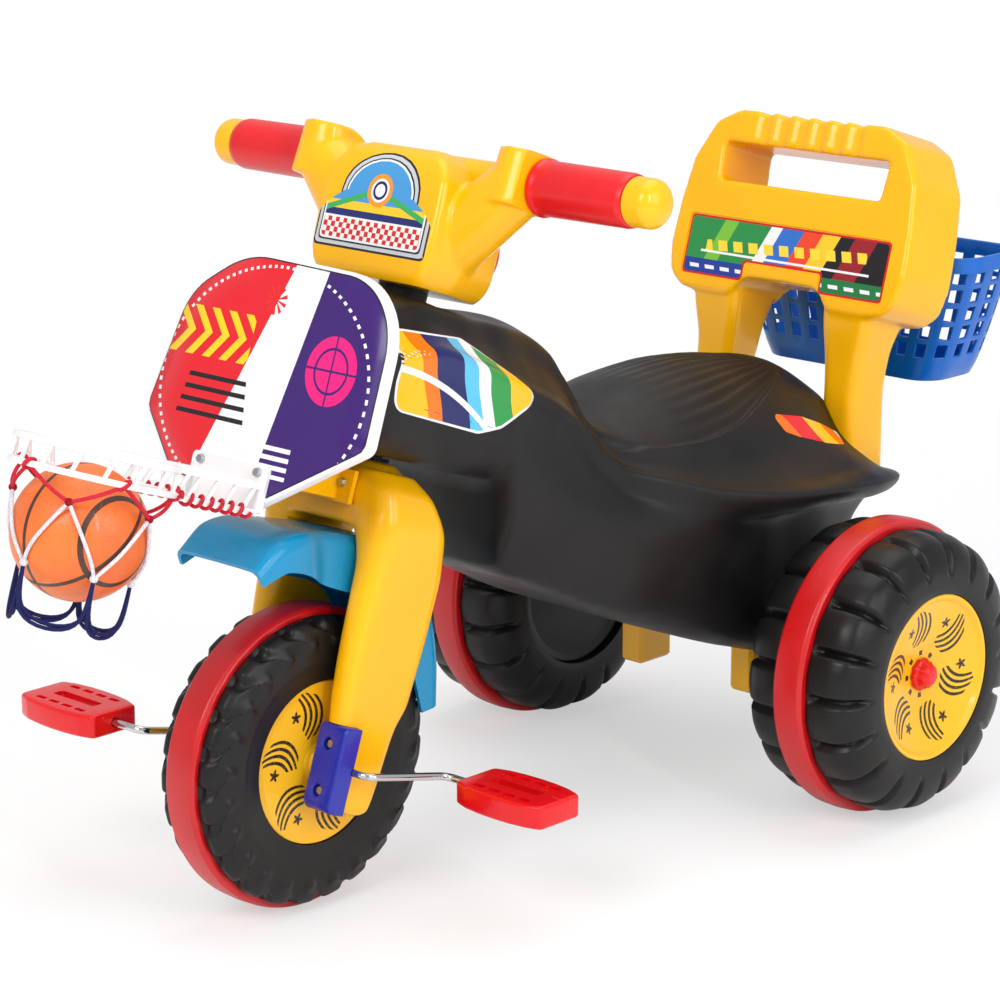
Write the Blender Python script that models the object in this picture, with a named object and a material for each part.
# A child's pedal trike styled as a motorcycle, as separate moulded, turned and bent pieces.
# Metres, +Z up, the trike faces -Y and its left side is +X. The floor is z = 0.
# The steered pieces are drawn in the steering frame: x across, v rearward, w up the raked axis.

import math

import bmesh
import bpy
from mathutils import Vector

# Driving dimensions of the whole trike
FRONT_AXLE_Y = -0.2449
WHEELBASE = 0.466
RAKE = math.radians(19.33)
FIT_GAP = 0.0003
SCREW_HOLE_R = 0.0020
RING_STEPS = 32
NEARLY_STRAIGHT = math.radians(86)

# Front wheel, crank and pedals
FRONT_RING_R = 0.115
FRONT_RING_HALF_WIDTH = 0.015
FRONT_GROOVE_R = 0.1035
FRONT_TREAD_R = 0.110
FRONT_TYRE_HALF_WIDTH = 0.032
FRONT_LUGS = 24
FRONT_LUG_DEPTH = 0.0035
FRONT_HUB_R = 0.062
FRONT_HUB_FACE = 0.0285
CRANK_R = 0.003
CRANK_BORE = 0.0035
CRANK_ARM_X = 0.078
CRANK_LENGTH = 0.0845
CRANK_ANGLE = math.radians(-13.5)
CRANK_BEND = 0.009
PEDAL_CENTRE_X = 0.150
PEDAL_LENGTH = 0.078
PEDAL_WIDTH = 0.052
PEDAL_THICKNESS = 0.017
PEDAL_SLOT_LENGTH = 0.047
PEDAL_SLOT_WIDTH = 0.0095

# Rear wheels and axle
REAR_RING_R = 0.120
REAR_WHEEL_X = 0.188
REAR_HALF_WIDTH = 0.057
REAR_RING_INNER = -0.015
REAR_RING_OUTER = 0.013
REAR_GROOVE_R = 0.101
REAR_TREAD_R = 0.114
REAR_LUGS = 18
REAR_LUG_DEPTH = 0.011
REAR_HUB_R = 0.0675
REAR_HUB_DISH = 0.016
REAR_AXLE_R = 0.005
REAR_BORE = 0.0056
REAR_AXLE_HALF = 0.244

# Fork, mudguard and axle clamps, in the steering frame
LEG_INNER_X = 0.0362
LEG_OUTER_X = 0.058
CROWN_TOP = 0.225
CLAMP_LOW = -0.033
CLAMP_HIGH = 0.032
CLAMP_FRONT = -0.018
CLAMP_OUTER_X = 0.064
CLAMP_SCREW_X = 0.0475
CLAMP_SCREWS = (-0.018, 0.017)
GUARD_R = 0.170
CHANNEL_TOP = GUARD_R + FIT_GAP
GUARD_WALL = 0.003
GUARD_HALF_WIDTH = 0.0355

# Steering stem and its bushes
STEM_R = 0.009
STEM_FOOT = 0.186
STEM_TOP = 0.425
BUSH_R = 0.0135
BUSH_FLANGE_R = 0.019
NOSE_BOTTOM_W = 0.2287
NOSE_TOP_W = 0.3445
BUSH_LENGTH = 0.020

# Handlebar, grips and horn
BAR_V = 0.0
BAR_W = 0.444
BAR_R = 0.0135
MODULE_BOTTOM = 0.355
GRIP_START = 0.1150
GRIP_END = 0.2030
GRIP_R = 0.020
BAR_END_R = 0.018
HORN_W = 0.392
HORN_R = 0.031
HORN_TRAVEL = 0.004

# Backboard, hoop, net and ball
BOARD_FRONT_V = -0.1276
BOARD_THICKNESS = 0.010
BOARD_CENTRE_W = 0.259
PAD_SCREWS = (-0.028, 0.028)
PAD_W = 0.222
BRACKET_SCREWS = (-0.020, 0.020)
BRACKET_W = 0.2045
BRACKET_FOOT_V = -0.0318
HOOP_V = -0.254
HOOP_R = 0.057
HOOP_WALL = 0.0045
HOOP_LOW = 0.169
HOOP_HIGH = 0.191
HOOP_WINDOWS = 8
HOOP_ARM_X = 0.034
HOOP_SCREWS = (-0.030, 0.030)
HOOP_SCREW_W = 0.1985
BALL_R = 0.048
BALL_W = 0.132
NET_CORD_R = 0.0015
NET_KNOTS = 5
NET_KNOT_REACH = 0.0042
NET_LOOP_DROP = 0.036

# Body, backrest and basket
# The stations of the body are drawn over these two sizes, and its rear follows the real axle from them
DRAWN_WHEELBASE = 0.466
DRAWN_REAR_RING_R = 0.120
TAIL_RISE = REAR_RING_R - DRAWN_REAR_RING_R
SADDLE_FRONT_Y = 0.160
CHANNEL_HALF = 0.020
CHANNEL_Z = REAR_RING_R + 0.015
HOLDER_X = 0.060
HOLDER_WIDTH = 0.024
HOLDER_BOTTOM = REAR_RING_R - 0.048
HOLDER_SCREW_Y = WHEELBASE + 0.0125
HOLDER_SCREW_SINK = 0.0045
HOLDER_SCREW_LENGTH = 0.075
BACKREST_SLOPE = 0.300
BACKREST_DEPTH = 0.050
BACKREST_FRONT_Y = WHEELBASE + 0.091
BACKREST_Z = 0.380 + TAIL_RISE
LEG_X_INNER = 0.052
LEG_X_OUTER = 0.088
LEG_Y_FRONT = WHEELBASE + 0.087
LEG_Y_REAR = LEG_Y_FRONT + 0.047
LEG_FOOT_Z = 0.238 + TAIL_RISE
LEG_LENGTH = 0.134
BACKREST_TOP = 0.1545
FINGER_GROOVES = 5
FINGER_PITCH = 0.022
FINGER_GROOVE_R = 0.012
FINGER_GROOVE_DEPTH = 0.0025
WINDOW_HALF = 0.081
WINDOW_LOW = 0.080
WINDOW_HIGH = 0.119
BASKET_FLOOR_Z = 0.305 + TAIL_RISE
BASKET_RIM_Z = BASKET_FLOOR_Z + 0.1225
BASKET_FRONT_Y = WHEELBASE + 0.182
BASKET_REAR_Y = WHEELBASE + 0.270
BASKET_RIM_HALF = 0.1285
BASKET_FLOOR_HALF = 0.092
BASKET_WALL = 0.0026
BASKET_PITCH = 0.0240
LUG_U = 0.060
LUG_T = 0.035
LUG_R = 0.0085
LUG_SCREW_DEPTH = 0.0936
LUG_SCREW_LENGTH = 0.057

for leftover in list(bpy.data.objects):
    bpy.data.objects.remove(leftover)


# Materials
def linear(channel):
    share = channel / 255
    return share / 12.92 if share <= 0.04045 else ((share + 0.055) / 1.055) ** 2.4


def finish(name, red, green, blue, roughness=0.35, metallic=0.0):
    material = bpy.data.materials.new(name)
    material.use_nodes = True
    shader = material.node_tree.nodes["Principled BSDF"]
    shader.inputs["Base Color"].default_value = (linear(red), linear(green), linear(blue), 1)
    shader.inputs["Roughness"].default_value = roughness
    shader.inputs["Metallic"].default_value = metallic
    material.diffuse_color = shader.inputs["Base Color"].default_value
    return material


YELLOW = (252, 188, 15)
RED = (225, 30, 35)


# Modelling helpers
def place(name, bm, material, parent, smooth=35):
    """Merges points that meet on an axis, turns the faces outward and makes a named object."""
    bmesh.ops.remove_doubles(bm, verts=bm.verts, dist=1e-6)
    bmesh.ops.recalc_face_normals(bm, faces=bm.faces)
    mesh = bpy.data.meshes.new(name)
    bm.to_mesh(mesh)
    bm.free()
    mesh.shade_smooth()
    mesh.set_sharp_from_angle(angle=math.radians(smooth))
    thing = bpy.data.objects.new(name, mesh)
    if material:
        mesh.materials.append(material)
    bpy.context.scene.collection.objects.link(thing)
    thing.parent = parent
    return thing


def empty(name, location, parent=None, tilt=0.0):
    marker = bpy.data.objects.new(name, None)
    marker.empty_display_size = 0.02
    marker.location = location
    marker.rotation_euler.x = tilt
    marker.parent = parent
    bpy.context.scene.collection.objects.link(marker)
    return marker


def loft(name, sections, material, parent, ring=False, smooth=35):
    """Skins equal closed sections one after another: capped at both ends, or joined into a ring."""
    bm = bmesh.new()
    loops = [[bm.verts.new(point) for point in section] for section in sections]
    count = len(loops[0])
    pairs = list(zip(loops, loops[1:]))
    if ring:
        pairs.append((loops[-1], loops[0]))
    for here, there in pairs:
        for k in range(count):
            following = (k + 1) % count
            bm.faces.new((here[k], here[following], there[following], there[k]))
    if not ring:
        bm.faces.new(loops[0])
        bm.faces.new(reversed(loops[-1]))
    return place(name, bm, material, parent, smooth)


def turned(name, profile, steps, material, parent, centre=(0, 0, 0), along="X", phase=0.0):
    """Revolves a closed (distance along, radius) profile about a line through centre."""
    sections = []
    for k in range(steps):
        angle = 2 * math.pi * k / steps + phase - math.pi / 2
        sections.append([on_turn(centre, along, a, r, angle) for a, r in profile])
    return loft(name, sections, material, parent, ring=True)


def on_turn(centre, along, distance, radius, angle):
    one, other = radius * math.cos(angle), radius * math.sin(angle)
    offset = {"X": (distance, one, other), "Y": (other, distance, one), "Z": (one, other, distance)}[along]
    return Vector(centre) + Vector(offset)


def rod(name, start, end, radius, sides, material, parent, end_radius=None):
    """A round bar or cone between two points."""
    start, end = Vector(start), Vector(end)
    bm = bmesh.new()
    bmesh.ops.create_cone(bm, cap_ends=True, segments=sides, radius1=radius,
                          radius2=radius if end_radius is None else end_radius, depth=(end - start).length)
    turn = (end - start).to_track_quat("Z", "Y").to_matrix().to_4x4()
    bmesh.ops.transform(bm, matrix=turn, verts=bm.verts)
    bmesh.ops.translate(bm, vec=(start + end) / 2, verts=bm.verts)
    return place(name, bm, material, parent)


def block(name, low, high, material, parent):
    bm = bmesh.new()
    bmesh.ops.create_cube(bm, size=1)
    low, high = Vector(low), Vector(high)
    bmesh.ops.scale(bm, vec=high - low, verts=bm.verts)
    bmesh.ops.translate(bm, vec=(low + high) / 2, verts=bm.verts)
    return place(name, bm, material, parent)


def prism(name, outline, push, material, parent):
    """Extrudes a flat outline of 3-D points by a vector."""
    push = Vector(push)
    near = [Vector(point) for point in outline]
    return loft(name, [near, [point + push for point in near]], material, parent)


def guide(thing):
    """Marks a helper that shapes other pieces and is no piece itself."""
    thing.hide_render = True
    thing.display_type = "WIRE"
    return thing


def combine(target, helper, operation):
    step = target.modifiers.new(helper.name, "BOOLEAN")
    step.operation = operation
    step.solver = "EXACT"
    step.object = guide(helper)
    return target


def cut(target, *helpers):
    for helper in helpers:
        combine(target, helper, "DIFFERENCE")
    return target


def join(target, *helpers):
    for helper in helpers:
        combine(target, helper, "UNION")
    return target


def soften(target, width, segments=2, angle=40):
    step = target.modifiers.new("rounded edges", "BEVEL")
    step.width = width
    step.segments = segments
    step.limit_method = "ANGLE"
    step.angle_limit = math.radians(angle)
    return target


def fillet(points, radius, steps=4):
    """Rounds every corner of a closed 2-D outline with an arc, limited by the sides that meet there."""
    rounded = []
    for k, corner in enumerate(points):
        corner = Vector(corner)
        before = Vector(points[k - 1]) - corner
        after = Vector(points[(k + 1) % len(points)]) - corner
        half = before.angle(after) / 2
        if half > NEARLY_STRAIGHT:
            rounded.append(tuple(corner))
            continue
        reach = min(radius / math.tan(half), 0.45 * before.length, 0.45 * after.length)
        real = reach * math.tan(half)
        middle = corner + (before.normalized() + after.normalized()).normalized() * real / math.sin(half)
        first = corner + before.normalized() * reach - middle
        last = corner + after.normalized() * reach - middle
        sweep = first.angle_signed(last)
        for s in range(steps + 1):
            angle = -sweep * s / steps
            turned_by = Vector((first.x * math.cos(angle) - first.y * math.sin(angle),
                                first.x * math.sin(angle) + first.y * math.cos(angle)))
            rounded.append(tuple(middle + turned_by))
    return rounded


def oblong(half_a, half_b, radius, steps=3):
    """A rectangle with round corners about the origin."""
    return fillet([(-half_a, -half_b), (half_a, -half_b), (half_a, half_b), (-half_a, half_b)], radius, steps)


def flow(places, values, at):
    """A smooth line through values at rising places, that never overshoots between two of them."""
    last = len(places) - 1
    k = min(max(sum(1 for place_k in places if place_k <= at) - 1, 0), last - 1)
    slopes = [(values[i + 1] - values[i]) / (places[i + 1] - places[i]) for i in range(last)]

    def slope(i):
        if i in (0, last):
            return slopes[0 if i == 0 else last - 1]
        before, after = slopes[i - 1], slopes[i]
        return 0.0 if before * after <= 0 else 2 * before * after / (before + after)

    span = places[k + 1] - places[k]
    t = (at - places[k]) / span
    start, end = values[k], values[k + 1]
    return ((2 * t**3 - 3 * t**2 + 1) * start + (t**3 - 2 * t**2 + t) * span * slope(k)
            + (3 * t**2 - 2 * t**3) * end + (t**3 - t**2) * span * slope(k + 1))


# The frames that pieces hang from: the vehicle, the raked steering line and the two axles
vehicle = empty("vehicle", (0, FRONT_AXLE_Y, 0))
steering = empty("steering_axis", (0, 0, FRONT_RING_R), vehicle, -RAKE)
front_axle = empty("front_axle_line", (0, 0, 0), steering, RAKE)
rear_line = empty("rear_axle_line", (0, WHEELBASE, REAR_RING_R), vehicle)
CRANK_Y = CRANK_LENGTH * math.cos(CRANK_ANGLE)
CRANK_Z = CRANK_LENGTH * math.sin(CRANK_ANGLE)
SIDES = (("left", 1), ("right", -1))


# Wheels
def lugged_tyre(name, profile, lugs, stations, lift, material, parent, centre=(0, 0, 0)):
    """A moulded tyre. lift says, for each profile point, how far a lug raises it out and sideways, and
    which of the two staggered rows of lugs it belongs to."""
    steps = lugs * stations
    sections = []
    for k in range(steps):
        angle = 2 * math.pi * k / steps - math.pi / 2
        section = []
        for (a, r), (up, out, row) in zip(profile, lift):
            raised = (k + row * (stations // 2)) % stations < (stations + 1) // 2
            share = 1.0 if raised else 0.0
            section.append(on_turn(centre, "X", a + out * share, r + up * share, angle))
        sections.append(section)
    return loft(name, sections, material, parent, ring=True, smooth=30)


def over_facets(radius, steps):
    """The radius whose flats still clear a round of that radius, on a piece of so many sides."""
    return radius / math.cos(math.pi / steps)


def grip_ring(name, inner, outer, low_r, high_r, material, parent, centre=(0, 0, 0)):
    """The soft coloured ring that is stretched into the groove in the middle of a tyre."""
    edge = 0.0025
    low_r = over_facets(low_r, RING_STEPS)
    profile = [(inner, low_r), (inner, high_r - edge), ((inner + outer) / 2, high_r), (outer, high_r - edge),
               (outer, low_r)]
    return turned(name, profile, RING_STEPS, material, parent, centre)


def front_wheel():
    half, groove = FRONT_TYRE_HALF_WIDTH, FRONT_RING_HALF_WIDTH + FIT_GAP
    tread = FRONT_TREAD_R - FRONT_LUG_DEPTH
    seat_r = FRONT_HUB_R + FIT_GAP
    side = [(half - 0.002, seat_r, 0, 0), (half, 0.084, 0, 0),
            (half - 0.004, tread - 0.007, 0.5 * FRONT_LUG_DEPTH, 0.0015),
            (groove, tread, FRONT_LUG_DEPTH, 0), (groove, FRONT_GROOVE_R, 0, 0)]
    profile = [(a, r) for a, r, _, _ in side] + [(-a, r) for a, r, _, _ in reversed(side)]
    lift = [(up, out, 0) for _, _, up, out in side] + [(up, -out, 1) for _, _, up, out in reversed(side)]
    black = finish("tyre_black", 42, 40, 42, 0.45)
    lugged_tyre("front_tyre", profile, FRONT_LUGS, 2, lift, black, front_axle)
    grip_ring("front_ring", -FRONT_RING_HALF_WIDTH, FRONT_RING_HALF_WIDTH, FRONT_GROOVE_R + FIT_GAP,
              FRONT_RING_R, finish("ring_red", 195, 30, 30, 0.4), front_axle)
    for label, side_sign in SIDES:
        boss = LEG_INNER_X - FIT_GAP
        disc = [(FIT_GAP / 2, CRANK_BORE), (FIT_GAP / 2, FRONT_HUB_R), (FRONT_HUB_FACE, FRONT_HUB_R),
                (FRONT_HUB_FACE, 0.011), (boss, 0.009), (boss, CRANK_BORE)]
        turned("front_hub_" + label, [(side_sign * a, r) for a, r in disc], 20,
               finish("hub_yellow_" + label, *YELLOW), front_axle)


def crank():
    """One bent steel rod: the wheel's axle, two arms half a turn apart and the two pedal spindles."""
    spindle_end = PEDAL_CENTRE_X + PEDAL_SLOT_LENGTH / 2 + 0.008
    corners = [(-spindle_end, -1), (-CRANK_ARM_X, -1), (-CRANK_ARM_X, 0),
               (CRANK_ARM_X, 0), (CRANK_ARM_X, 1), (spindle_end, 1)]
    path = [Vector((x, k * CRANK_Y, k * CRANK_Z)) for x, k in corners]
    points = [path[0]]
    for before, corner, after in zip(path, path[1:], path[2:]):
        one, other = (before - corner).normalized(), (after - corner).normalized()
        middle = corner + (one + other) * CRANK_BEND
        for s in range(4):
            angle = math.pi / 2 * s / 3
            points.append(middle - other * CRANK_BEND * math.cos(angle) - one * CRANK_BEND * math.sin(angle))
    points.append(path[-1])
    curve = bpy.data.curves.new("crank", "CURVE")
    curve.dimensions = "3D"
    curve.bevel_depth = CRANK_R
    curve.bevel_resolution = 2
    curve.use_fill_caps = True
    line = curve.splines.new("POLY")
    line.points.add(len(points) - 1)
    for vertex, point in zip(line.points, points):
        vertex.co = (*point, 1)
    thing = bpy.data.objects.new("crank", curve)
    curve.materials.append(finish("crank_chrome", 200, 200, 205, 0.18, 1.0))
    bpy.context.scene.collection.objects.link(thing)
    thing.parent = front_axle


def pedal(label, sign):
    """A moulded block with a barrel outline, tread slots, and a slot that shows the spindle."""
    axis = empty("pedal_axis_" + label, (sign * PEDAL_CENTRE_X, sign * CRANK_Y, sign * CRANK_Z), front_axle)
    half_l, half_w, half_t = PEDAL_LENGTH / 2, PEDAL_WIDTH / 2, PEDAL_THICKNESS / 2
    end_w = half_w * 0.62
    near_side = [(-half_l, -end_w), (-half_l * 0.5, -half_w), (half_l * 0.5, -half_w), (half_l, -end_w)]
    outline = fillet(near_side + [(-a, -b) for a, b in near_side], 0.006, 1)
    body = prism("pedal_" + label, [(a, b, -half_t) for a, b in outline], (0, 0, 2 * half_t),
                 finish("pedal_red_" + label, 205, 25, 30), axis)
    inner, outer = -sign * (half_l + 0.01), sign * (PEDAL_SLOT_LENGTH / 2 + 0.0085)
    bore = rod("pedal_bore_" + label, (inner, 0, 0), (outer, 0, 0), CRANK_BORE, 12, None, axis)
    slot_l, slot_w = PEDAL_SLOT_LENGTH / 2, PEDAL_SLOT_WIDTH / 2
    slot = block("pedal_slot_" + label, (-slot_l, -slot_w, -0.02), (slot_l, slot_w, 0.02), None, axis)
    cut(body, bore, slot)
    for row in (-1, 1):
        for k in (-1, 0, 1):
            x, y = k * 0.0165, row * half_w * 0.66
            tread = block("tread_slot_%s_%d_%d" % (label, row, k), (x - 0.006, y - 0.0025, half_t - 0.004),
                          (x + 0.006, y + 0.0025, 0.02), None, axis)
            cut(body, tread)
    place_at = sign * (PEDAL_SLOT_LENGTH / 2 - 0.0016)
    nut_profile = [(place_at - 0.001, CRANK_R + FIT_GAP), (place_at - 0.001, 0.0044),
                   (place_at + 0.001, 0.0044), (place_at + 0.001, CRANK_R + FIT_GAP)]
    steel = finish("steel_" + label, 170, 172, 176, 0.3, 1.0)
    turned("pedal_push_nut_" + label, nut_profile, 12, steel, axis)


def rear_wheel(label, sign):
    centre = (sign * REAR_WHEEL_X, 0, 0)
    half, tread = REAR_HALF_WIDTH, REAR_TREAD_R - REAR_LUG_DEPTH
    seat_r = REAR_HUB_R + FIT_GAP
    rows = [(half - 0.001, seat_r, 0, 0), (half - 0.004, tread - 0.016, 0.004, 0.004),
            (half - 0.010, tread - 0.003, REAR_LUG_DEPTH - 0.002, 0.0025),
            (REAR_RING_OUTER + FIT_GAP, tread + 0.002, REAR_LUG_DEPTH - 0.002, 0),
            (REAR_RING_OUTER + FIT_GAP, REAR_GROOVE_R, 0, 0)]
    inner = [(-a if a > 0.02 else REAR_RING_INNER - FIT_GAP, r, up, -out) for a, r, up, out in reversed(rows)]
    sides = [(a, r, up, out, 0) for a, r, up, out in rows] + [(a, r, up, out, 1) for a, r, up, out in inner]
    profile = [(sign * a, r) for a, r, _, _, _ in sides]
    lift = [(up, sign * out, row) for _, _, up, out, row in sides]
    lugged_tyre("rear_tyre_" + label, profile, REAR_LUGS, 3, lift,
                finish("tyre_black_" + label, 42, 40, 42, 0.45), rear_line, centre)
    low_r = REAR_GROOVE_R + FIT_GAP
    first, last = sorted((sign * REAR_RING_INNER, sign * REAR_RING_OUTER))
    grip_ring("rear_ring_" + label, first, last, low_r, REAR_RING_R,
              finish("ring_red_" + label, 200, 28, 30, 0.4), rear_line, centre)
    seat, face = FIT_GAP / 2, half - 0.001
    outer_disc = [(seat, REAR_BORE), (seat, REAR_HUB_R), (face, REAR_HUB_R),
                  (face - 0.001, REAR_HUB_R - 0.004), (face - REAR_HUB_DISH, 0.024),
                  (face - REAR_HUB_DISH, REAR_BORE)]
    turned("rear_hub_outer_" + label, [(sign * a, r) for a, r in outer_disc], 22,
           finish("hub_yellow_outer_" + label, *YELLOW), rear_line, centre)
    inner_disc = [(seat, REAR_BORE), (seat, REAR_HUB_R), (face - 0.006, REAR_HUB_R), (face - 0.008, 0.014),
                  (face, 0.0125), (face, REAR_BORE)]
    turned("rear_hub_inner_" + label, [(-sign * a, r) for a, r in inner_disc], 16,
           finish("hub_yellow_inner_" + label, *YELLOW), rear_line, centre)


def rear_axle():
    steel = finish("axle_steel", 160, 162, 166, 0.3, 1.0)
    rod("rear_axle", (-REAR_AXLE_HALF, 0, 0), (REAR_AXLE_HALF, 0, 0), REAR_AXLE_R, 16, steel, rear_line)
    hub_face = REAR_WHEEL_X + REAR_HALF_WIDTH - 0.001 - REAR_HUB_DISH
    wheel_inner = REAR_WHEEL_X - REAR_HALF_WIDTH + 0.001
    for label, sign in SIDES:
        collar, tip = hub_face + 2 * FIT_GAP, hub_face + 0.020
        cap = [(collar, REAR_AXLE_R + FIT_GAP), (collar, 0.0115), (collar + 0.004, 0.0115),
               (collar + 0.006, 0.0095), (tip, 0.0085), (tip, 0.0030), (REAR_AXLE_HALF + FIT_GAP, 0.0030),
               (REAR_AXLE_HALF + FIT_GAP, REAR_AXLE_R + FIT_GAP)]
        red = finish("cap_red_" + label, *RED)
        turned("axle_cap_" + label, [(sign * a, r) for a, r in cap], 12, red, rear_line)
        near, far = HOLDER_X + HOLDER_WIDTH / 2 + FIT_GAP, wheel_inner - 2 * FIT_GAP
        tube = [(near, REAR_AXLE_R + FIT_GAP), (near, 0.0085), (far, 0.0085), (far, REAR_AXLE_R + FIT_GAP)]
        turned("axle_spacer_" + label, [(sign * a, r) for a, r in tube], 12,
               finish("spacer_black_" + label, 40, 40, 42, 0.5), rear_line)


# The body: one blow-moulded shell, lofted through the lines that a stylist would draw along it.
# Each station: y, height of the top, rim (x, z), side (x, z), under the side (x, z), sill (x, z), keel
BODY_STATIONS = (
    (0.012, 0.443, (0.050, 0.437), (0.068, 0.414), (0.070, 0.384), (0.050, 0.359), 0.3540),
    (0.030, 0.452, (0.055, 0.447), (0.077, 0.420), (0.078, 0.380), (0.060, 0.352), 0.3475),
    (0.070, 0.459, (0.055, 0.452), (0.082, 0.420), (0.080, 0.375), (0.062, 0.3385), 0.3335),
    (0.120, 0.441, (0.055, 0.435), (0.084, 0.400), (0.082, 0.350), (0.060, 0.3195), 0.3160),
    (0.150, 0.431, (0.052, 0.425), (0.082, 0.385), (0.082, 0.335), (0.062, 0.3080), 0.3050),
    (0.160, 0.428, (0.052, 0.422), (0.081, 0.380), (0.082, 0.325), (0.061, 0.2500), 0.2350),
    (0.200, 0.418, (0.044, 0.408), (0.077, 0.360), (0.085, 0.290), (0.070, 0.2250), 0.2120),
    (0.235, 0.395, (0.040, 0.387), (0.076, 0.335), (0.090, 0.270), (0.078, 0.2050), 0.1950),
    (0.255, 0.362, (0.045, 0.354), (0.081, 0.312), (0.094, 0.262), (0.084, 0.1950), 0.1850),
    (0.275, 0.338, (0.055, 0.328), (0.087, 0.296), (0.098, 0.256), (0.088, 0.1860), 0.1750),
    (0.310, 0.344, (0.075, 0.314), (0.101, 0.284), (0.104, 0.248), (0.092, 0.1740), 0.1600),
    (0.360, 0.353, (0.088, 0.305), (0.120, 0.269), (0.111, 0.238), (0.098, 0.1520), 0.1400),
    (0.410, 0.3555, (0.092, 0.303), (0.136, 0.261), (0.114, 0.235), (0.100, 0.1320), 0.1220),
    (0.450, 0.353, (0.090, 0.305), (0.143, 0.257), (0.112, 0.236), (0.100, 0.1200), 0.1120),
    (0.490, 0.347, (0.082, 0.308), (0.145, 0.254), (0.111, 0.234), (0.100, 0.1210), 0.1120),
    (0.520, 0.338, (0.070, 0.310), (0.143, 0.251), (0.108, 0.232), (0.090, 0.1500), 0.1400),
    (0.550, 0.322, (0.056, 0.304), (0.135, 0.248), (0.100, 0.229), (0.075, 0.1920), 0.1860),
    (0.580, 0.292, (0.050, 0.280), (0.118, 0.243), (0.090, 0.226), (0.060, 0.2120), 0.2090),
    (0.605, 0.262, (0.040, 0.256), (0.090, 0.238), (0.070, 0.225), (0.050, 0.2180), 0.2165),
    (0.620, 0.242, (0.030, 0.239), (0.052, 0.233), (0.040, 0.227), (0.030, 0.2250), 0.2240),
)
BODY_RINGS = 24
CROWN_STEPS = 3
LIP_THICKNESS = 0.016


def towards_axle(y):
    """How far a drawn station lies on its way from the saddle's front, at 0, to the rear axle, at 1."""
    return min(max((y - SADDLE_FRONT_Y) / (DRAWN_WHEELBASE - SADDLE_FRONT_Y), 0.0), 1.0)


def body_section(y):
    """Half of the closed outline at the drawn place y, from the top's middle round to the keel."""
    places = [row[0] for row in BODY_STATIONS]
    rise = towards_axle(y) * TAIL_RISE

    def line(column, part=None):
        values = [row[column] if part is None else row[column][part] for row in BODY_STATIONS]
        return flow(places, values, y)

    top, keel = line(1) + rise, line(6) + rise
    rim, side, under, sill = ((line(k, 0), line(k, 1) + rise) for k in (2, 3, 4, 5))
    half = []
    for k in range(CROWN_STEPS + 1):
        x = rim[0] * k / CROWN_STEPS
        half.append((x, rim[1] + (top - rim[1]) * (1 - (x / rim[0]) ** 2.2)))
    hollow = 0.10 * (side[0] - rim[0])
    for t in (0.35, 0.70):
        sag = hollow * math.sin(math.pi * t)
        half.append((rim[0] + (side[0] - rim[0]) * t - sag, rim[1] + (side[1] - rim[1]) * t - sag))
    half.append(side)
    lip_z = min(LIP_THICKNESS, 0.7 * (side[1] - under[1]))
    half.append((side[0] - 0.3 * max(side[0] - under[0], 0.0) - 0.001, side[1] - lip_z))
    half.append(under)
    half.append((under[0] + (sill[0] - under[0]) * 0.25, (under[1] + sill[1]) / 2))
    half.append(sill)
    half.append((sill[0] * 0.86, sill[1] + 0.75 * (keel - sill[1])))
    half.append((0.0, keel))
    return half


def body_outline(y):
    half = body_section(y)
    other = [(-x, z) for x, z in reversed(half[1:-1])]
    real_y = y + towards_axle(y) * (WHEELBASE - DRAWN_WHEELBASE)
    return [(x, real_y, z) for x, z in half + other]


def body_shell():
    first, last = BODY_STATIONS[0][0], BODY_STATIONS[-1][0]
    spots = sorted({round(first + (last - first) * k / BODY_RINGS, 4) for k in range(BODY_RINGS + 1)}
                   | {0.150, 0.160})
    spots = [y for y in spots if y in (0.150, 0.160) or min(abs(y - 0.150), abs(y - 0.160)) > 0.006]
    sections = [body_outline(y) for y in spots]

    def shrunk(section, further, share):
        middle = sum(z for _, _, z in section) / len(section)
        return [(x * share, y + further, middle + (z - middle) * share) for x, y, z in section]

    sections = [shrunk(sections[0], -0.006, 0.80)] + sections + [shrunk(sections[-1], 0.003, 0.55)]
    body = loft("body_shell", sections, finish("body_black", 45, 42, 42, 0.38), vehicle, smooth=50)
    bore = rod("stem_bore", (0, 0, 0.20), (0, 0, 0.40), BUSH_R + FIT_GAP, 16, None, steering)
    face_r = BUSH_FLANGE_R + 0.0008
    low_face = rod("lower_spot_face", (0, 0, 0.20), (0, 0, NOSE_BOTTOM_W), face_r, 16, None, steering)
    high_face = rod("upper_spot_face", (0, 0, NOSE_TOP_W), (0, 0, 0.40), face_r, 16, None, steering)
    half = CHANNEL_HALF + FIT_GAP
    channel = block("axle_channel", (-0.13, WHEELBASE - half, HOLDER_BOTTOM - 0.02),
                    (0.13, WHEELBASE + half, CHANNEL_Z + FIT_GAP), None, vehicle)
    cut(body, bore, low_face, high_face, channel)
    for label, sign in SIDES:
        cut(body, leg_form("leg_socket_" + label, sign, None, 2 * FIT_GAP))
        x, y = sign * HOLDER_X, HOLDER_SCREW_Y
        thread_end = HOLDER_BOTTOM + HOLDER_SCREW_SINK + HOLDER_SCREW_LENGTH + 0.007
        cut(body, screw_hole("holder_thread_" + label, (x, y, REAR_RING_R), (x, y, thread_end), vehicle))


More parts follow.
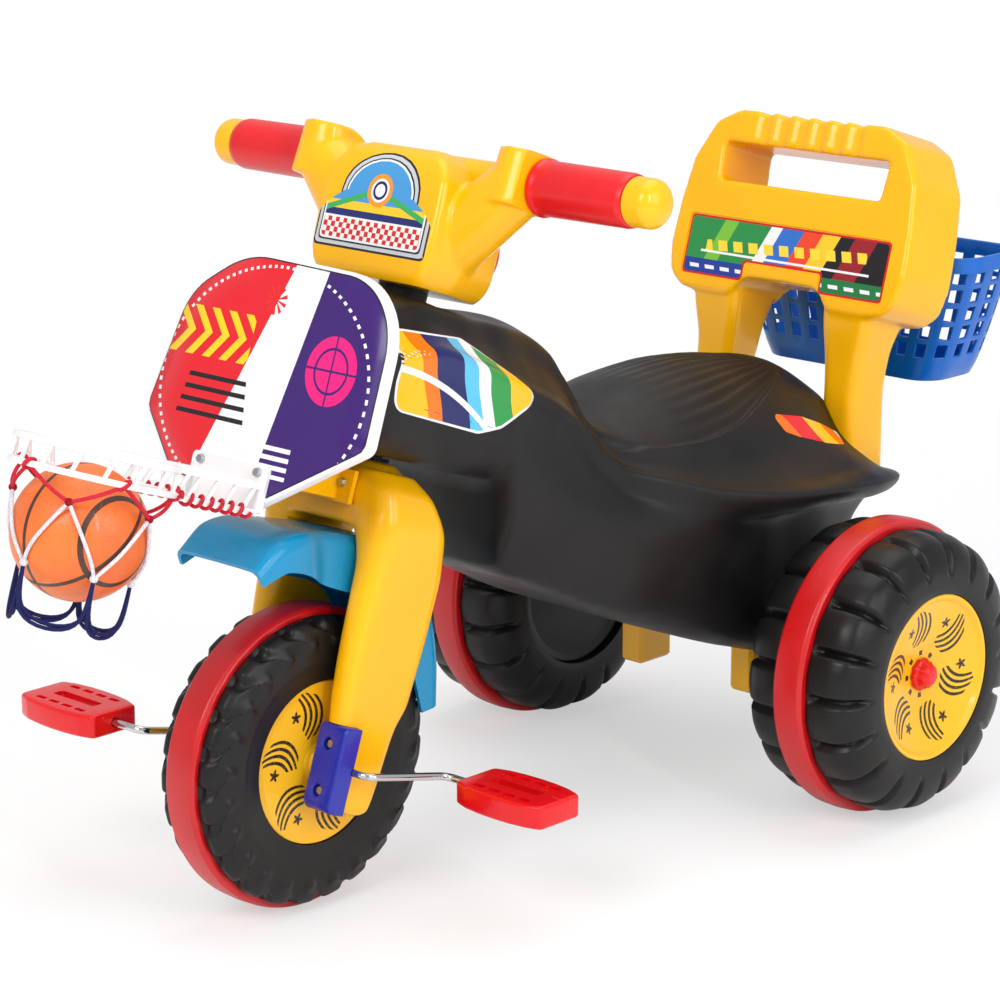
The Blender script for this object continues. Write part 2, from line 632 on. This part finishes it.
def axle_holders():
    """The two moulded blocks that carry the rear axle in the body's cross channel."""
    for label, sign in SIDES:
        low = (sign * HOLDER_X - HOLDER_WIDTH / 2, WHEELBASE - CHANNEL_HALF, HOLDER_BOTTOM)
        high = (sign * HOLDER_X + HOLDER_WIDTH / 2, WHEELBASE + CHANNEL_HALF, CHANNEL_Z)
        yellow = finish("holder_yellow_" + label, *YELLOW)
        holder = soften(block("axle_holder_" + label, low, high, yellow, vehicle), 0.003, 1)
        reach = HOLDER_WIDTH
        bore = rod("holder_bore_" + label, (sign * HOLDER_X - reach, 0, 0), (sign * HOLDER_X + reach, 0, 0),
                   REAR_AXLE_R + FIT_GAP, 16, None, rear_line)
        x, y = sign * HOLDER_X, HOLDER_SCREW_Y
        below, head_z = HOLDER_BOTTOM - 0.01, HOLDER_BOTTOM + HOLDER_SCREW_SINK
        shank = screw_hole("holder_shank_hole_" + label, (x, y, below), (x, y, CHANNEL_Z + 0.005), vehicle)
        pocket = rod("holder_head_pocket_" + label, (x, y, below), (x, y, head_z + 0.0035), 0.0041, 8, None,
                     vehicle)
        cut(holder, bore, shank, pocket)
        screw("holder_screw_" + label, (x, y, head_z), (0, 0, 1), HOLDER_SCREW_LENGTH, vehicle)


def screw_hole(name, start, end, parent):
    return rod(name, start, end, SCREW_HOLE_R, 6, None, parent)


def screw(name, head_at, direction, length, parent):
    """A round-headed screw: its head starts at head_at and its shank runs along direction."""
    direction = Vector(direction).normalized()
    head_at = Vector(head_at)
    steel = finish(name + "_steel", 165, 168, 172, 0.3, 1.0)
    head = rod(name, head_at, head_at + direction * 0.0028, 0.0030, 7, steel, parent, 0.0036)
    start = head_at + direction * 0.001
    shank = rod(name + "_shank", start, head_at + direction * length, 0.0015, 4, None, parent)
    return join(head, shank)


# Fork, clamps, mudguard and stem
def fork():
    """One moulding: crown with a neck, and two legs whose section changes all the way down."""
    yellow = finish("fork_yellow", *YELLOW, 0.3)
    # Each station of a leg: w, front v, rear v, inner x, outer x
    rows = ((-0.0330, 0.0100, 0.0270, 0.0400, 0.0550),
            (-0.0300, 0.0010, 0.0345, 0.0370, 0.0575),
            (-0.0180, -0.0060, 0.0376, LEG_INNER_X, LEG_OUTER_X),
            (0.0330, -0.0160, 0.0440, LEG_INNER_X, LEG_OUTER_X),
            (0.0565, -0.0200, 0.0520, LEG_INNER_X, LEG_OUTER_X),
            (0.0950, -0.0240, 0.0530, LEG_INNER_X, 0.0600),
            (0.1450, -0.0270, 0.0510, LEG_INNER_X, 0.0640),
            (0.1840, -0.0310, 0.0420, 0.0250, 0.0690),
            (0.2060, -0.0310, 0.0300, 0.0100, 0.0660),
            (0.2200, -0.0270, 0.0180, 0.0050, 0.0550))
    legs = []
    for label, sign in SIDES:
        sections = []
        for w, front, rear, inner, outer in rows:
            ring = oblong((outer - inner) / 2, (rear - front) / 2, 0.009, 2)
            middle_x, middle_v = (outer + inner) / 2, (rear + front) / 2
            sections.append([(sign * (middle_x + a), middle_v + b, w) for a, b in ring])
        legs.append(loft("fork" if sign > 0 else "fork_leg_right", sections, yellow, steering, smooth=40))
    body, other = legs
    neck = loft("fork_crown", [[(a, b - 0.004, w) for a, b in oblong(half_x, half_v, 0.010, 2)]
                               for w, half_x, half_v in ((0.176, 0.050, 0.026), (0.212, 0.046, 0.024),
                                                         (CROWN_TOP, 0.030, 0.018))], None, steering)
    join(body, other, neck)
    low, high = (-LEG_INNER_X, -0.2, -0.1), (LEG_INNER_X, 0.2, CHANNEL_TOP)
    channel = block("wheel_channel", low, high, None, steering)
    socket = rod("stem_socket", (0, 0, STEM_FOOT), (0, 0, 0.24), STEM_R + FIT_GAP, 16, None, steering)
    half = CRANK_ARM_X
    low, high = (-half, -0.05, CLAMP_LOW - 0.01), (half, FIT_GAP / 2, CLAMP_HIGH + FIT_GAP)
    notch = block("clamp_notch", low, high, None, steering)
    groove = rod("axle_groove", (-half, 0, 0), (half, 0, 0), CRANK_BORE, 12, None, steering)
    cut(body, channel, socket, notch, groove)
    for label, sign in SIDES:
        for k, w in enumerate(CLAMP_SCREWS):
            x = sign * CLAMP_SCREW_X
            cut(body, screw_hole("clamp_thread_%s_%d" % (label, k), (x, -0.01, w), (x, 0.0165, w), steering))
    for k, x in enumerate(BRACKET_SCREWS):
        deep, mouth = (x, -0.0175, BRACKET_W), (x, -0.05, BRACKET_W)
        cut(body, screw_hole("bracket_thread_%d" % k, mouth, deep, steering))
    return body


def axle_clamp(label, sign):
    """The blue cap that holds the crank's journal against the fork leg from the front."""
    profile = fillet([(CLAMP_FRONT, CLAMP_LOW), (-FIT_GAP / 2, CLAMP_LOW), (-FIT_GAP / 2, CLAMP_HIGH),
                      (CLAMP_FRONT, CLAMP_HIGH)], 0.0035, 1)
    blue = finish("clamp_blue_" + label, 45, 50, 160)
    body = prism("axle_clamp_" + label, [(sign * LEG_INNER_X, v, w) for v, w in profile],
                 (sign * (CLAMP_OUTER_X - LEG_INNER_X), 0, 0), blue, steering)
    cheek_profile = fillet([(-0.008, CLAMP_LOW + 0.001), (0.012, CLAMP_LOW + 0.006),
                            (0.012, CLAMP_HIGH - 0.006), (-0.008, CLAMP_HIGH - 0.001)], 0.004, 1)
    cheek = prism("clamp_cheek_" + label, [(sign * (LEG_OUTER_X + 0.0008), v, w) for v, w in cheek_profile],
                  (sign * (CLAMP_OUTER_X - LEG_OUTER_X - 0.0010), 0, 0), None, steering)
    join(body, cheek)
    mouth = block("clamp_mouth_" + label, (sign * 0.061 - 0.006, 0.0, -CRANK_BORE),
                  (sign * 0.061 + 0.006, 0.02, CRANK_BORE), None, steering)
    inner, outer = (sign * 0.03, 0, 0), (sign * 0.07, 0, 0)
    bore = rod("clamp_bore_" + label, inner, outer, CRANK_BORE, 12, None, steering)
    cut(body, mouth, bore)
    for k, w in enumerate(CLAMP_SCREWS):
        x = sign * CLAMP_SCREW_X
        pocket = rod("clamp_pocket_%s_%d" % (label, k), (x, -0.03, w), (x, -0.0115, w), 0.0042, 8, None,
                     steering)
        shank = screw_hole("clamp_hole_%s_%d" % (label, k), (x, -0.03, w), (x, 0.01, w), steering)
        cut(body, pocket, shank)
        screw("clamp_screw_%s_%d" % (label, k + 1), (x, -0.0146, w), (0, 1, 0), 0.029, steering)


def mudguard():
    """A thin moulded arch: each station has its ridge point, half width, skirt depth and tilt."""
    # ridge v, ridge w, half width, skirt depth, angle of the skirt's direction from straight down
    rows = ((-0.1230, 0.1310, 0.045, 0.004, -40), (-0.1050, 0.1540, 0.046, 0.014, -34),
            (-0.0800, 0.1640, 0.043, 0.024, -26), (-0.0550, 0.1668, GUARD_HALF_WIDTH, 0.030, -18),
            (-0.0270, 0.1688, GUARD_HALF_WIDTH, 0.032, -9), (0.0000, GUARD_R, GUARD_HALF_WIDTH, 0.033, 0),
            (0.0270, 0.1655, GUARD_HALF_WIDTH, 0.032, 12), (0.0530, 0.1500, GUARD_HALF_WIDTH, 0.030, 24),
            (0.0760, 0.1250, GUARD_HALF_WIDTH, 0.026, 40), (0.0950, 0.0920, 0.035, 0.020, 55),
            (0.1080, 0.0560, 0.034, 0.010, 66))
    sections = []
    for v, w, half, depth, angle in rows:
        turn = math.radians(angle)
        down = Vector((0, -math.sin(turn), -math.cos(turn)))
        ridge = Vector((0, v, w))
        corner = min(0.010, half * 0.3)

        def arch(inset):
            skirt, bend = half - inset, half - inset - corner * 0.7
            shape = [(-skirt, depth + corner), (-skirt, corner), (-bend, inset), (0, inset), (bend, inset),
                     (skirt, corner), (skirt, depth + corner)]
            return [ridge + Vector((x, 0, 0)) + down * drop for x, drop in shape]

        sections.append(arch(0.0) + list(reversed(arch(GUARD_WALL))))
    return loft("mudguard", sections, finish("mudguard_teal", 20, 150, 195, 0.28), steering, smooth=40)


def stem():
    rod("steering_stem", (0, 0, STEM_FOOT + FIT_GAP), (0, 0, STEM_TOP), STEM_R, 16,
        finish("stem_steel", 170, 172, 176, 0.3, 1.0), steering)
    bore = STEM_R + FIT_GAP
    low, high = CROWN_TOP + FIT_GAP, NOSE_BOTTOM_W - FIT_GAP
    lower = [(low, bore), (low, BUSH_FLANGE_R), (high, BUSH_FLANGE_R), (high, BUSH_R),
             (high + BUSH_LENGTH, BUSH_R), (high + BUSH_LENGTH, bore)]
    turned("steering_bush_lower", lower, 16, finish("bush_white_lower", 225, 225, 220), steering, along="Z")
    low, high = NOSE_TOP_W + FIT_GAP, MODULE_BOTTOM - FIT_GAP
    upper = [(low - BUSH_LENGTH, bore), (low - BUSH_LENGTH, BUSH_R), (low, BUSH_R), (low, BUSH_FLANGE_R),
             (high, BUSH_FLANGE_R), (high, bore)]
    turned("steering_bush_upper", upper, 16, finish("bush_white_upper", 225, 225, 220), steering, along="Z")


# Handlebar, grips and horn
def handlebar():
    """The moulded bar: lofted across from a deep flat-faced middle out to the two round arms."""
    yellow = finish("handlebar_yellow", *YELLOW, 0.3)
    # x, front v, rear v, bottom w, top w, corner radius
    half_rows = ((0.000, -0.045, 0.054, MODULE_BOTTOM, 0.4550, 0.012),
                 (0.030, -0.045, 0.053, MODULE_BOTTOM, 0.4540, 0.012),
                 (0.050, -0.045, 0.050, MODULE_BOTTOM, 0.4450, 0.012),
                 (0.062, -0.044, 0.046, 0.3600, 0.4430, 0.012),
                 (0.078, -0.040, 0.038, 0.3790, 0.4460, 0.014),
                 (0.096, -0.033, 0.030, 0.4010, 0.4540, 0.015),
                 (0.108, -0.026, 0.024, 0.4140, 0.4620, 0.015),
                 (GRIP_START - FIT_GAP, -0.019, 0.019, 0.4250, 0.4630, 0.015))
    rows = [(-x, *rest) for x, *rest in reversed(half_rows[1:])] + list(half_rows)
    sections = []
    for x, front, rear, bottom, top, radius in rows:
        ring = oblong((rear - front) / 2, (top - bottom) / 2, radius, 2)
        sections.append([(x, (rear + front) / 2 + a, (top + bottom) / 2 + b) for a, b in ring])
    bar = loft("handlebar", sections, yellow, steering, smooth=45)
    arm = rod("bar_arm", (-GRIP_END, BAR_V, BAR_W), (GRIP_END, BAR_V, BAR_W), BAR_R, 16, None, steering)
    join(bar, arm)
    for label, sign in SIDES:
        foot, top = (sign * 0.094, -0.013, 0.420), (sign * 0.094, -0.013, 0.4665)
        knob = rod("knob_" + label, foot, top, 0.0190, 12, None, steering, 0.0165)
        join(bar, knob)
    socket = rod("bar_socket", (0, 0, 0.30), (0, 0, STEM_TOP + FIT_GAP), STEM_R + FIT_GAP, 16, None, steering)
    horn_well = rod("horn_well", (0, 0.036, HORN_W), (0, 0.08, HORN_W), HORN_R + 0.0004, 20, None, steering)
    cut(bar, socket, horn_well)
    for label, sign in SIDES:
        cut(bar, rod("bar_end_bore_" + label, (sign * (GRIP_END - 0.020), BAR_V, BAR_W),
                     (sign * (GRIP_END + 0.01), BAR_V, BAR_W), 0.0074, 12, None, steering))


def grips():
    for label, sign in SIDES:
        bore, start, end = BAR_R + FIT_GAP, GRIP_START, GRIP_END
        sleeve = [(start, bore), (start, GRIP_R + 0.003), (start + 0.004, GRIP_R + 0.003),
                  (start + 0.007, GRIP_R), (end - 0.002, GRIP_R), (end, GRIP_R - 0.001), (end, bore)]
        turned("grip_" + label, [(sign * a, r) for a, r in sleeve], 20, finish("grip_red_" + label, *RED),
               steering, (0, BAR_V, BAR_W))
        start = end + FIT_GAP
        cap = [(start - 0.019, 0.0), (start - 0.019, 0.0070), (start, 0.0070), (start, BAR_END_R),
               (start + 0.014, BAR_END_R), (start + 0.021, BAR_END_R * 0.80),
               (start + 0.0255, BAR_END_R * 0.35), (start + 0.026, 0.0)]
        yellow = finish("bar_end_yellow_" + label, *YELLOW)
        turned("bar_end_" + label, [(sign * a, r) for a, r in cap], 18, yellow, steering, (0, BAR_V, BAR_W))


def horn_button():
    """The rider's push button: a dome on a short barrel that slides in its well in the bar."""
    face, floor = 0.0545, 0.036 + HORN_TRAVEL + 0.0005
    profile = [(floor, 0.0), (floor, HORN_R), (face + 0.006, HORN_R), (face + 0.012, HORN_R * 0.84),
               (face + 0.0155, HORN_R * 0.5), (face + 0.0168, 0.0)]
    turned("horn_button", profile, 20, finish("horn_red", *RED), steering, (0, 0, HORN_W), along="Y")


# Backboard, hoop, net and ball
def backboard():
    half = ((0.055, 0.0920), (0.090, 0.0690), (0.114, 0.0300), (0.118, -0.0100), (0.100, -0.0550))
    outline = [(x, t) for x, t in half] + [(0.0, -0.0900)] + [(-x, t) for x, t in reversed(half)]
    rounded = fillet(outline, 0.026, 1)
    board = prism("backboard", [(x, BOARD_FRONT_V, BOARD_CENTRE_W + t) for x, t in rounded],
                  (0, BOARD_THICKNESS, 0), finish("board_white", 240, 240, 240, 0.3), steering)
    soften(board, 0.002, 1)
    for k, x in enumerate(PAD_SCREWS):
        deep, mouth = (x, BOARD_FRONT_V + 0.003, PAD_W), (x, -0.10, PAD_W)
        cut(board, screw_hole("board_hole_%d" % k, deep, mouth, steering))
    for k, x in enumerate(HOOP_SCREWS):
        cut(board, screw_hole("hoop_thread_%d" % k, (x, BOARD_FRONT_V - 0.01, HOOP_SCREW_W),
                              (x, BOARD_FRONT_V + 0.0085, HOOP_SCREW_W), steering))


def backboard_bracket():
    """The moulded arm that carries the backboard in front of the fork's crown."""
    back = BOARD_FRONT_V + BOARD_THICKNESS + FIT_GAP
    crown_front = BRACKET_FOOT_V
    yellow = finish("bracket_yellow", *YELLOW)
    low, high = (-0.016, back + 0.001, 0.192), (0.016, crown_front - 0.001, 0.2175)
    arm = block("backboard_bracket", low, high, yellow, steering)
    pad = block("bracket_pad", (-0.038, back, 0.188), (0.038, back + 0.004, 0.2270), None, steering)
    low, high = (-0.030, crown_front - 0.004, 0.190), (0.030, crown_front, 0.2150)
    foot = block("bracket_foot", low, high, None, steering)
    join(arm, pad, foot)
    for low_x in (0.004, -0.012):
        hollow = block("bracket_hollow", (low_x, back + 0.010, 0.180),
                       (low_x + 0.008, crown_front - 0.010, 0.2135), None, steering)
        cut(arm, hollow)
    for k, x in enumerate(PAD_SCREWS):
        cut(arm, screw_hole("pad_hole_%d" % k, (x, back - 0.005, PAD_W), (x, back + 0.02, PAD_W), steering))
        screw("board_screw_%d" % (k + 1), (x, back + 0.0043 + 0.0028, PAD_W), (0, -1, 0), 0.0128, steering)
    for k, x in enumerate(BRACKET_SCREWS):
        cut(arm, screw_hole("foot_hole_%d" % k, (x, -0.05, BRACKET_W), (x, -0.02, BRACKET_W), steering))
        head = (x, crown_front - 0.0043 - 0.0028, BRACKET_W)
        screw("bracket_screw_%d" % (k + 1), head, (0, 1, 0), 0.0190, steering)


def hoop():
    """The moulded basketball hoop: a latticed band on two arms, and a plate on the backboard."""
    inner, outer = HOOP_R - HOOP_WALL / 2, HOOP_R + HOOP_WALL / 2
    band = turned("hoop", [(HOOP_LOW, inner), (HOOP_LOW, outer), (HOOP_HIGH, outer), (HOOP_HIGH, inner)], 24,
                  finish("hoop_white", 245, 245, 245, 0.3), steering, (0, HOOP_V, 0), along="Z")
    low, high = HOOP_LOW + 0.0050, HOOP_HIGH - 0.0050
    window = 2 * math.pi * HOOP_R / HOOP_WINDOWS / 2 - 0.0028
    for k in range(HOOP_WINDOWS // 2):
        slot = block("hoop_window_%d" % k, (-0.1, -window, low), (0.1, window, high), None, steering)
        slot.location = (0, HOOP_V, 0)
        slot.rotation_euler.z = 2 * math.pi * (k + 0.5) / HOOP_WINDOWS
        cut(band, slot)
    plate_v = BOARD_FRONT_V - FIT_GAP
    for label, sign in SIDES:
        x, reach = sign * HOOP_ARM_X, HOOP_V + math.sqrt(HOOP_R**2 - HOOP_ARM_X**2)
        near, far = (x - 0.002, reach, low - 0.003), (x + 0.002, plate_v - 0.001, high + 0.003)
        arm = block("hoop_arm_" + label, near, far, None, steering)
        near, far = (x - 0.01, reach + 0.016, low), (x + 0.01, plate_v - 0.010, high)
        slot = block("hoop_arm_slot_" + label, near, far, None, steering)
        join(band, arm)
        cut(band, slot)
    plate = block("hoop_plate", (-0.040, plate_v - 0.003, 0.1700), (0.040, plate_v, 0.2040), None, steering)
    join(band, plate)
    for k, x in enumerate(HOOP_SCREWS):
        near, far = (x, -0.2, HOOP_SCREW_W), (x, -0.1, HOOP_SCREW_W)
        cut(band, screw_hole("hoop_screw_hole_%d" % k, near, far, steering))
        head = (x, plate_v - 0.0033 - 0.0028, HOOP_SCREW_W)
        screw("hoop_screw_%d" % (k + 1), head, (0, 1, 0), 0.0138, steering)


def net():
    """The knotted cord net, as one web: strands from the hoop to the upper knots, more round the ball
    to the lower knots, and loops that hang from those."""
    touch = BALL_R + NET_CORD_R + FIT_GAP
    hook_h, knot_h, low_h = HOOP_LOW - FIT_GAP - BALL_W, 0.020, -0.027
    step = 2 * math.pi / NET_KNOTS

    def at(angle, radius, height):
        return Vector((radius * math.sin(angle), HOOP_V - radius * math.cos(angle), BALL_W + height))

    def round_ball(height):
        return touch + 0.0012 * height / knot_h if height > 0 else math.sqrt(touch**2 - height**2)

    strands = []
    low_r = round_ball(low_h)
    drop = Vector((0, math.sin(RAKE), -math.cos(RAKE))) * NET_LOOP_DROP
    for k in range(NET_KNOTS):
        hook = k * step
        for way in (-1, 1):
            upper = hook + way * step / 2
            strands.append([at(hook + (upper - hook) * t, HOOP_R + (round_ball(knot_h) - HOOP_R) * t,
                               hook_h + (knot_h - hook_h) * t) for t in (0, 1 / 2, 1)])
            fall = [(s / 4, knot_h + (low_h - knot_h) * s / 4) for s in range(5)]
            strands.append([at(upper + (hook - upper) * t, round_ball(height), height) for t, height in fall])
        start, end = at(hook, low_r, low_h), at(hook + step, low_r, low_h)
        swing = [(s / 6, s / 6 + 0.08 * math.sin(math.tau * s / 6)) for s in range(7)]
        strands.append([start + (end - start) * across + drop * math.sin(math.pi * t) for t, across in swing])
    web("net", strands, NET_CORD_R, NET_KNOT_REACH, finish("net_red", 205, 40, 60, 0.8), steering)


def web(name, strands, radius, reach, material, parent, sides=4):
    """Cords that meet at knots, as one closed skin: a tube for each strand, and at each knot the
    convex hull of the ends that meet there."""
    bm = bmesh.new()
    knots = {}
    for strand in strands:
        line = list(strand)
        line[0] = strand[0] + (strand[1] - strand[0]).normalized() * reach
        line[-1] = strand[-1] + (strand[-2] - strand[-1]).normalized() * reach
        rings = []
        for k, point in enumerate(line):
            ahead = (line[min(k + 1, len(line) - 1)] - line[max(k - 1, 0)]).normalized()
            across = ahead.cross(Vector((0.03, 0.05, 1))).normalized()
            other = ahead.cross(across)
            turns = [math.tau * s / sides for s in range(sides)]
            rings.append([bm.verts.new(point + radius * (across * math.cos(a) + other * math.sin(a)))
                          for a in turns])
        for here, there in zip(rings, rings[1:]):
            for s in range(sides):
                bm.faces.new((here[s - 1], here[s], there[s], there[s - 1]))
        for end, ring in ((strand[0], rings[0]), (strand[-1], rings[-1])):
            knots.setdefault(tuple(round(value, 5) for value in end), []).append(ring)
    for rings in knots.values():
        corners = [corner for ring in rings for corner in ring]
        hull = bmesh.new()
        for corner in corners:
            hull.verts.new(corner.co)
        bmesh.ops.convex_hull(hull, input=hull.verts)
        hull.verts.index_update()
        for face in hull.faces:
            ids = [corner.index for corner in face.verts]
            if len({k // sides for k in ids}) > 1:
                bm.faces.new([corners[k] for k in ids])
        hull.free()
    return place(name, bm, material, parent)


def ball():
    bm = bmesh.new()
    bmesh.ops.create_uvsphere(bm, u_segments=16, v_segments=10, radius=BALL_R)
    thing = place("ball", bm, finish("ball_orange", 240, 120, 40, 0.4), steering, smooth=60)
    thing.location = (0, HOOP_V, BALL_W)


# Backrest and basket
def leg_form(name, sign, material, grow):
    """A backrest leg, or its socket in the body when grow is its clearance."""
    half_x, half_y = (LEG_X_OUTER - LEG_X_INNER) / 2 + grow, (LEG_Y_REAR - LEG_Y_FRONT) / 2 + grow
    ring = oblong(half_x, half_y, 0.010 + grow, 2)
    middle_x, middle_y = (LEG_X_OUTER + LEG_X_INNER) / 2, (LEG_Y_REAR + LEG_Y_FRONT) / 2
    knee, hip = LEG_FOOT_Z + 0.082, LEG_FOOT_Z + LEG_LENGTH
    rows = ((LEG_FOOT_Z - grow, 1.0, 0.0), (knee, 1.0, 0.0), (hip, 1.03, 0.002))
    sections = [[(sign * (middle_x + a * wide), middle_y + back + b * wide, z) for a, b in ring]
                for z, wide, back in rows]
    return loft(name, sections, material, vehicle, smooth=40)


def lean(u, t, depth):
    """A point of the leaning panel: u across, t up the panel, depth behind its front face."""
    norm = math.hypot(1, BACKREST_SLOPE)
    y = BACKREST_FRONT_Y + BACKREST_SLOPE * t / norm + depth / norm
    return (u, y, BACKREST_Z + t / norm - BACKREST_SLOPE * depth / norm)


def backrest():
    half = ((0.072, BACKREST_TOP), (0.100, 0.1430), (0.121, 0.1100), (0.1290, 0.0700), (0.1340, 0.0250),
            (0.1340, 0.0080), (0.126, -0.0080), (0.108, -0.0140), (0.092, -0.0180), (0.088, -0.0300),
            (0.052, -0.0300), (0.050, 0.0020), (0.040, 0.0130))
    outline = fillet(list(half) + [(0.0, 0.0140)] + [(-u, t) for u, t in reversed(half)], 0.008, 1)
    front = [lean(u, t, 0.0) for u, t in outline]
    push = Vector(lean(0, 0, BACKREST_DEPTH)) - Vector(lean(0, 0, 0))
    body = prism("backrest", front, push, finish("backrest_yellow", *YELLOW, 0.3), vehicle)
    soften(body, 0.009, 2, 60)
    opening = fillet([(-WINDOW_HALF, WINDOW_LOW), (WINDOW_HALF, WINDOW_LOW),
                      (WINDOW_HALF + 0.003, WINDOW_HIGH), (-WINDOW_HALF - 0.003, WINDOW_HIGH)], 0.010, 3)
    window = prism("grip_window", [lean(u, t, -0.02) for u, t in opening], push * 2, None, vehicle)
    cut(body, window)
    for k in range(FINGER_GROOVES):
        u = (k - (FINGER_GROOVES - 1) / 2) * FINGER_PITCH
        above = BACKREST_TOP + FINGER_GROOVE_R - FINGER_GROOVE_DEPTH
        groove = rod("finger_groove_%d" % k, lean(u, above, -0.02), lean(u, above, BACKREST_DEPTH + 0.02),
                     FINGER_GROOVE_R, 16, None, vehicle)
        cut(body, groove)
    for label, sign in SIDES:
        join(body, leg_form("backrest_leg_" + label, sign, None, 0.0))
    panel = fillet([(-0.108, 0.0085), (-0.040, 0.0085), (-0.040, 0.0250), (0.040, 0.0250), (0.040, 0.0085),
                    (0.108, 0.0085), (0.108, 0.0620), (-0.108, 0.0620)], 0.003, 1)
    inward = Vector(push) * 0.0112 / BACKREST_DEPTH
    recess = prism("panel_recess", [lean(u, t, -0.01) for u, t in panel], inward, None, vehicle)
    cut(body, recess)
    for label, sign in SIDES:
        deep = lean(sign * LUG_U, LUG_T, BACKREST_DEPTH - 0.016)
        mouth = lean(sign * LUG_U, LUG_T, BACKREST_DEPTH + 0.010)
        cut(body, screw_hole("lug_thread_" + label, deep, mouth, vehicle))


def basket_half(z):
    share = (z - BASKET_FLOOR_Z) / (BASKET_RIM_Z - BASKET_FLOOR_Z)
    return BASKET_FLOOR_HALF + (BASKET_RIM_HALF - BASKET_FLOOR_HALF) * share**0.8


def basket_ring(z, inset):
    share = (z - BASKET_FLOOR_Z) / (BASKET_RIM_Z - BASKET_FLOOR_Z)
    front = BASKET_FRONT_Y + 0.005 * (1 - share) + inset
    rear = BASKET_REAR_Y - 0.008 * (1 - share) - inset
    ring = oblong(basket_half(z) - inset, (rear - front) / 2, 0.022 - inset, 3)
    return [(a, (front + rear) / 2 + b, z) for a, b in ring]


def basket():
    """The moulded lattice basket behind the backrest: solid rim and floor bands, rows of slots between."""
    waist = BASKET_FLOOR_Z + 0.065
    heights = (BASKET_FLOOR_Z, BASKET_FLOOR_Z + 0.024, waist, BASKET_RIM_Z)
    outer = [basket_ring(z, 0.003 if z == BASKET_FLOOR_Z else 0.0) for z in heights]
    rim_band = [basket_ring(BASKET_RIM_Z - 0.012, -0.0016), basket_ring(BASKET_RIM_Z, -0.0016)]
    body = loft("basket", outer, finish("basket_blue", 0, 95, 175, 0.35), vehicle)
    band = loft("basket_rim_band", rim_band, None, vehicle)
    hollow = loft("basket_hollow", [basket_ring(BASKET_FLOOR_Z + BASKET_WALL, BASKET_WALL + 0.003)]
                  + [basket_ring(z, BASKET_WALL) for z in heights[1:]]
                  + [[(x, y, z + 0.02) for x, y, z in basket_ring(BASKET_RIM_Z, BASKET_WALL)]], None, vehicle)
    join(body, band)
    for label, sign in SIDES:
        start, end = (lean(sign * LUG_U, LUG_T, BACKREST_DEPTH + away) for away in (FIT_GAP, 0.034))
        join(body, rod("basket_lug_" + label, start, end, LUG_R, 12, None, vehicle))
    cut(body, hollow)
    for row, rise in enumerate((0.029, 0.053, 0.077)):
        low, high = BASKET_FLOOR_Z + rise, BASKET_FLOOR_Z + rise + 0.016
        room = basket_half(low) - 0.026
        columns = int(room // BASKET_PITCH)
        for k in range(-columns, columns + 1):
            x = k * BASKET_PITCH
            if row == 2 and abs(abs(x) - LUG_U) < 0.015:
                continue
            slot = block("basket_slot_%d_%d" % (row, k), (x - 0.0065, BASKET_FRONT_Y - 0.05, low),
                         (x + 0.0065, BASKET_REAR_Y + 0.05, high), None, vehicle)
            cut(body, slot)
        for k in (-1, 0, 1):
            y = (BASKET_FRONT_Y + BASKET_REAR_Y) / 2 + k * 0.0180
            near, far = (-0.2, y - 0.0050, low), (0.2, y + 0.0050, high)
            slot = block("basket_side_slot_%d_%d" % (row, k), near, far, None, vehicle)
            cut(body, slot)
    for label, sign in SIDES:
        near, far = (lean(sign * LUG_U, LUG_T, BACKREST_DEPTH + away) for away in (-0.002, 0.060))
        cut(body, screw_hole("lug_bore_" + label, near, far, vehicle))
        forward = Vector(near) - Vector(far)
        head = lean(sign * LUG_U, LUG_T, LUG_SCREW_DEPTH)
        screw("basket_screw_" + label, head, forward, LUG_SCREW_LENGTH, vehicle)


body_shell()
axle_holders()
rear_axle()
for side_name, side_sign in SIDES:
    rear_wheel(side_name, side_sign)
front_wheel()
crank()
for side_name, side_sign in SIDES:
    pedal(side_name, side_sign)
fork()
for side_name, side_sign in SIDES:
    axle_clamp(side_name, side_sign)
mudguard()
stem()
handlebar()
grips()
horn_button()
backboard()
backboard_bracket()
hoop()
net()
ball()
backrest()
basket()
